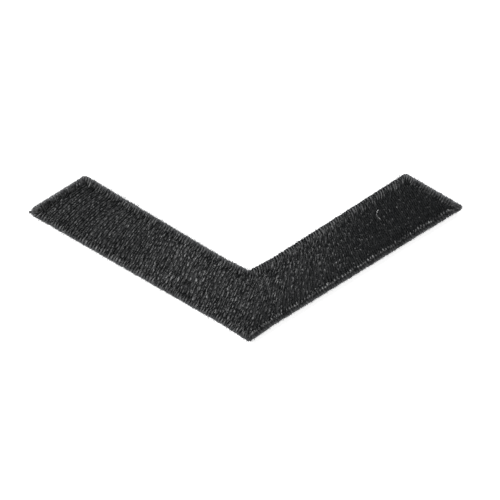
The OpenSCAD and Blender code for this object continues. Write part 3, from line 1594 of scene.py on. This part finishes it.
# A few filaments that have split off a ply and lie together
FILAMENTS = Strand(0.035 * MM, 0.0, 0.8 * MM, 5, 16, 1.0, 1)
LOOSE_ENDS = (
    # The snagged loop in the fill of the right arm
    LooseEnd(
        (
            (17.9, 6.3, 1.45),
            (17.84, 6.13, 1.62),
            (17.58, 5.52, 1.55),
            (18.0, 5.05, 1.68),
            (18.29, 4.7, 1.72),
            (18.36, 4.62, 1.45),
        ),
        Strand(0.06 * MM, 0.0, 0.8 * MM, 6, 20, 1.0, 1),
        4.0,
    ),
    # Two fine filaments that lie across the fill
    LooseEnd(((13.36, 2.71, 1.6), (13.9, 2.8, 1.64), (14.37, 2.83, 1.6)), FILAMENTS, 1.5),
    LooseEnd(
        ((14.64, 2.69, 1.6), (15.18, 2.85, 1.64), (15.75, 2.82, 1.66), (15.89, 2.2, 1.6)),
        FILAMENTS,
        1.5,
    ),
    # The knotted end of the border's thread at the left tip
    LooseEnd(
        (
            (-28.5, 6.6, 1.3),
            (-29.0, 6.72, 1.32),
            (-29.3, 6.6, 1.25),
            (-29.0, 6.48, 1.15),
            (-28.5, 6.55, 1.1),
        ),
        Strand(0.08 * MM, 0.05 * MM, 1.6 * MM, 6, 20, 1.0),
        0.3,
    ),
)


@dataclass
class LooseEnds:
    """The few threads and filaments that have come loose.

    Attributes:
        thread: The thread's material.
        ends: Each of them.
    """

    thread: PolyesterThread
    ends: tuple[LooseEnd, ...] = LOOSE_ENDS

    def build(self) -> bpy.types.Object:
        threads = StrandMesh("loose_ends", 1.0, taper_l=0.15 * MM, taper_to=0.6)
        for end in self.ends:
            piece = end.strand.model(end.strand.quarters(end.length))
            threads.lay(piece, end.path, 1.0, 0.0, level(end.glint))
        obj = threads.build(self.thread.material())
        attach(obj, "root")
        return obj


@dataclass
class StitchBeds:
    """What lies under the strands that show: the border's core and the field's underlay.

    Attributes:
        finish: The underlay's material.
        core_shrink: How far the core lies inside the border's solid.
        field_height: Share of the field's height that its underlay fills.
    """

    finish: UnderlayThread = field(default_factory=UnderlayThread)
    core_shrink: float = 0.3 * MM
    field_height: float = 0.8

    def build(self) -> list[bpy.types.Object]:
        """Models both beds from the frame's solids."""
        material = self.finish.material()
        underlay = copied_node("stitched_field", "field_underlay")
        foot = (0, 0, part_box("stitched_field")[0].z)
        with editing():
            bpy.ops.transform.resize(value=(1, 1, self.field_height), center_override=foot)
        core = copied_node("satin_border", "border_core")
        with editing():
            bpy.ops.transform.shrink_fatten(value=-self.core_shrink)
        for bed in (underlay, core):
            LOG.info("%s of %d faces", bed.name, len(bed.data.polygons))
            bed.data.shade_smooth()
            bed.data.materials.append(material)
            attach(bed, "root")
        return [underlay, core]


@dataclass(frozen=True)
class Lamp:
    """A soft round lamp that faces the patch.

    Attributes:
        name: Its name.
        azimuth: Where it stands, in degrees from +X.
        elevation: Its height above the floor, in degrees.
        power: Its power in watts.
        distance: Its distance.
        size: Its diameter.
    """

    name: str
    azimuth: float
    elevation: float
    power: float
    distance: float = 1.5
    size: float = 0.36

    def hang(self) -> None:
        """Hangs the lamp, facing the patch."""
        turn, rise = math.radians(self.azimuth), math.radians(self.elevation)
        toward = np.array(
            [math.cos(turn) * math.cos(rise), math.sin(turn) * math.cos(rise), math.sin(rise)]
        )
        light = bpy.data.lights.new(self.name, "AREA")
        light.shape = "DISK"
        light.size = self.size
        light.energy = self.power
        lamp = linked(self.name, light)
        lamp.location = toward * self.distance
        lamp.rotation_euler = (math.pi / 2 - rise, 0, turn + math.pi / 2)


@dataclass(frozen=True)
class LitTable:
    """White opal acrylic, lit from below, which gives the eye an even white without a horizon.

    Attributes:
        name: The material's name.
        colour: The table's own white.
        glow: The light that comes through it.
        strength: How strongly it glows.
        roughness: Of its matt face.
    """

    name: str = "opal_acrylic_white_lit"
    colour: str = "#f4f4f4"
    glow: str = "#ffffff"
    strength: float = 0.75
    roughness: float = 0.9

    def material(self) -> bpy.types.Material:
        """Builds the material."""
        material, tree = new_material(self.name)
        skin = add_node(
            tree,
            "ShaderNodeBsdfPrincipled",
            values={
                "Base Color": linear(self.colour),
                "Roughness": self.roughness,
                "Emission Color": linear(self.glow),
                "Emission Strength": self.strength,
            },
        )
        add_node(tree, "ShaderNodeOutputMaterial", links={"Surface": skin.outputs["BSDF"]})
        return material


@dataclass
class Studio:
    """A pale floor, two soft lamps and a camera straight above.

    Attributes:
        outline: The cut edge, which the camera is set by.
        pixel: Size of one of the photograph's pixels on the patch.
        frame_px: Width and height of the photograph.
        point_px: Where the photograph shows the point of the V.
        tilt: Turn of the patch in the photograph, in degrees, counter-clockwise.
        lens: Focal length, in millimetres.
        lamps: The key lamp on the left, and a weaker one behind on the right.
        sky: Brightness of the even light from all round.
        table: The floor's material.
        floor_l: Side of the floor.
    """

    outline: CutOutline
    pixel: float = 0.135 * MM
    frame_px: float = 500.0
    point_px: tuple[float, float] = (249.5, 341.7)
    tilt: float = 0.85
    lens: float = 135.0
    lamps: tuple[Lamp, ...] = (
        Lamp("key_lamp", 154.0, 45.0, 22.0),
        Lamp("back_lamp", 72.0, 45.0, 9.0),
    )
    sky: float = 0.32
    table: LitTable = LitTable()
    floor_l: float = 2.0

    def build(self) -> None:
        """Sets the floor, the lights and the camera."""
        self._floor()
        for lamp in self.lamps:
            lamp.hang()
        self._sky()
        self._camera()
        bpy.context.scene.view_settings.view_transform = "Standard"

    def _floor(self) -> None:
        """Lays a pale floor that glows a little, as a lit table does."""
        select_only()
        bpy.ops.mesh.primitive_plane_add(size=self.floor_l, location=(0, 0, 0))
        floor = bpy.context.object
        floor.name = "floor"
        floor.data.materials.append(self.table.material())

    def _sky(self) -> None:
        """Lights the scene evenly from all round."""
        world = bpy.data.worlds.new("white_tent")
        world.use_nodes = True
        world.node_tree.nodes.clear()
        glow = add_node(
            world.node_tree,
            "ShaderNodeBackground",
            values={"Color": linear("#ffffff"), "Strength": self.sky},
        )
        add_node(world.node_tree, "ShaderNodeOutputWorld", links={"Surface": glow.outputs["Background"]})
        bpy.context.scene.world = world

    def _camera(self) -> None:
        """Stands the camera above the place that the photograph's middle shows."""
        turn = math.radians(self.tilt)
        right = (self.frame_px / 2 - self.point_px[0]) * self.pixel
        up = (self.point_px[1] - self.frame_px / 2) * self.pixel
        point = self.outline.corner(Corner.POINT)
        data = bpy.data.cameras.new("camera")
        data.lens = self.lens
        data.clip_start = 10 * MM
        height = self.frame_px * self.pixel / data.sensor_width * self.lens
        camera = linked("camera", data)
        camera.location = (
            point[0] + right * math.cos(turn) + up * math.sin(turn),
            point[1] - right * math.sin(turn) + up * math.cos(turn),
            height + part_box("stitched_field")[1].z,
        )
        camera.rotation_euler = (0, 0, -turn)
        bpy.context.scene.camera = camera


def main() -> None:
    """Builds the patch from the cloth up, and then the studio round it."""
    logging.basicConfig(level=logging.INFO, format="%(message)s")
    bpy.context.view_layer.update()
    cut = CutOutline.read("base_cloth")
    outline = cut.drawn(DRAWN_TIPS)
    thread = PolyesterThread()
    # The border's strands take a painted rim light of lighter grey at the cut, and their filaments lie
    # less straight
    border_thread = PolyesterThread(
        "polyester_thread_black_border", rim_light_grey="#505153", tufts=1.0, tuft_l=0.9, anisotropy=0.7
    )
    CutCloth(cut).build()
    StitchBeds().build()
    StitchedField(outline, thread).build()
    SatinBorder(outline, border_thread).build()
    EdgeFibres(outline, border_thread).build()
    LooseEnds(thread).build()
    Studio(outline).build()


if __name__ == "__main__":
    main()
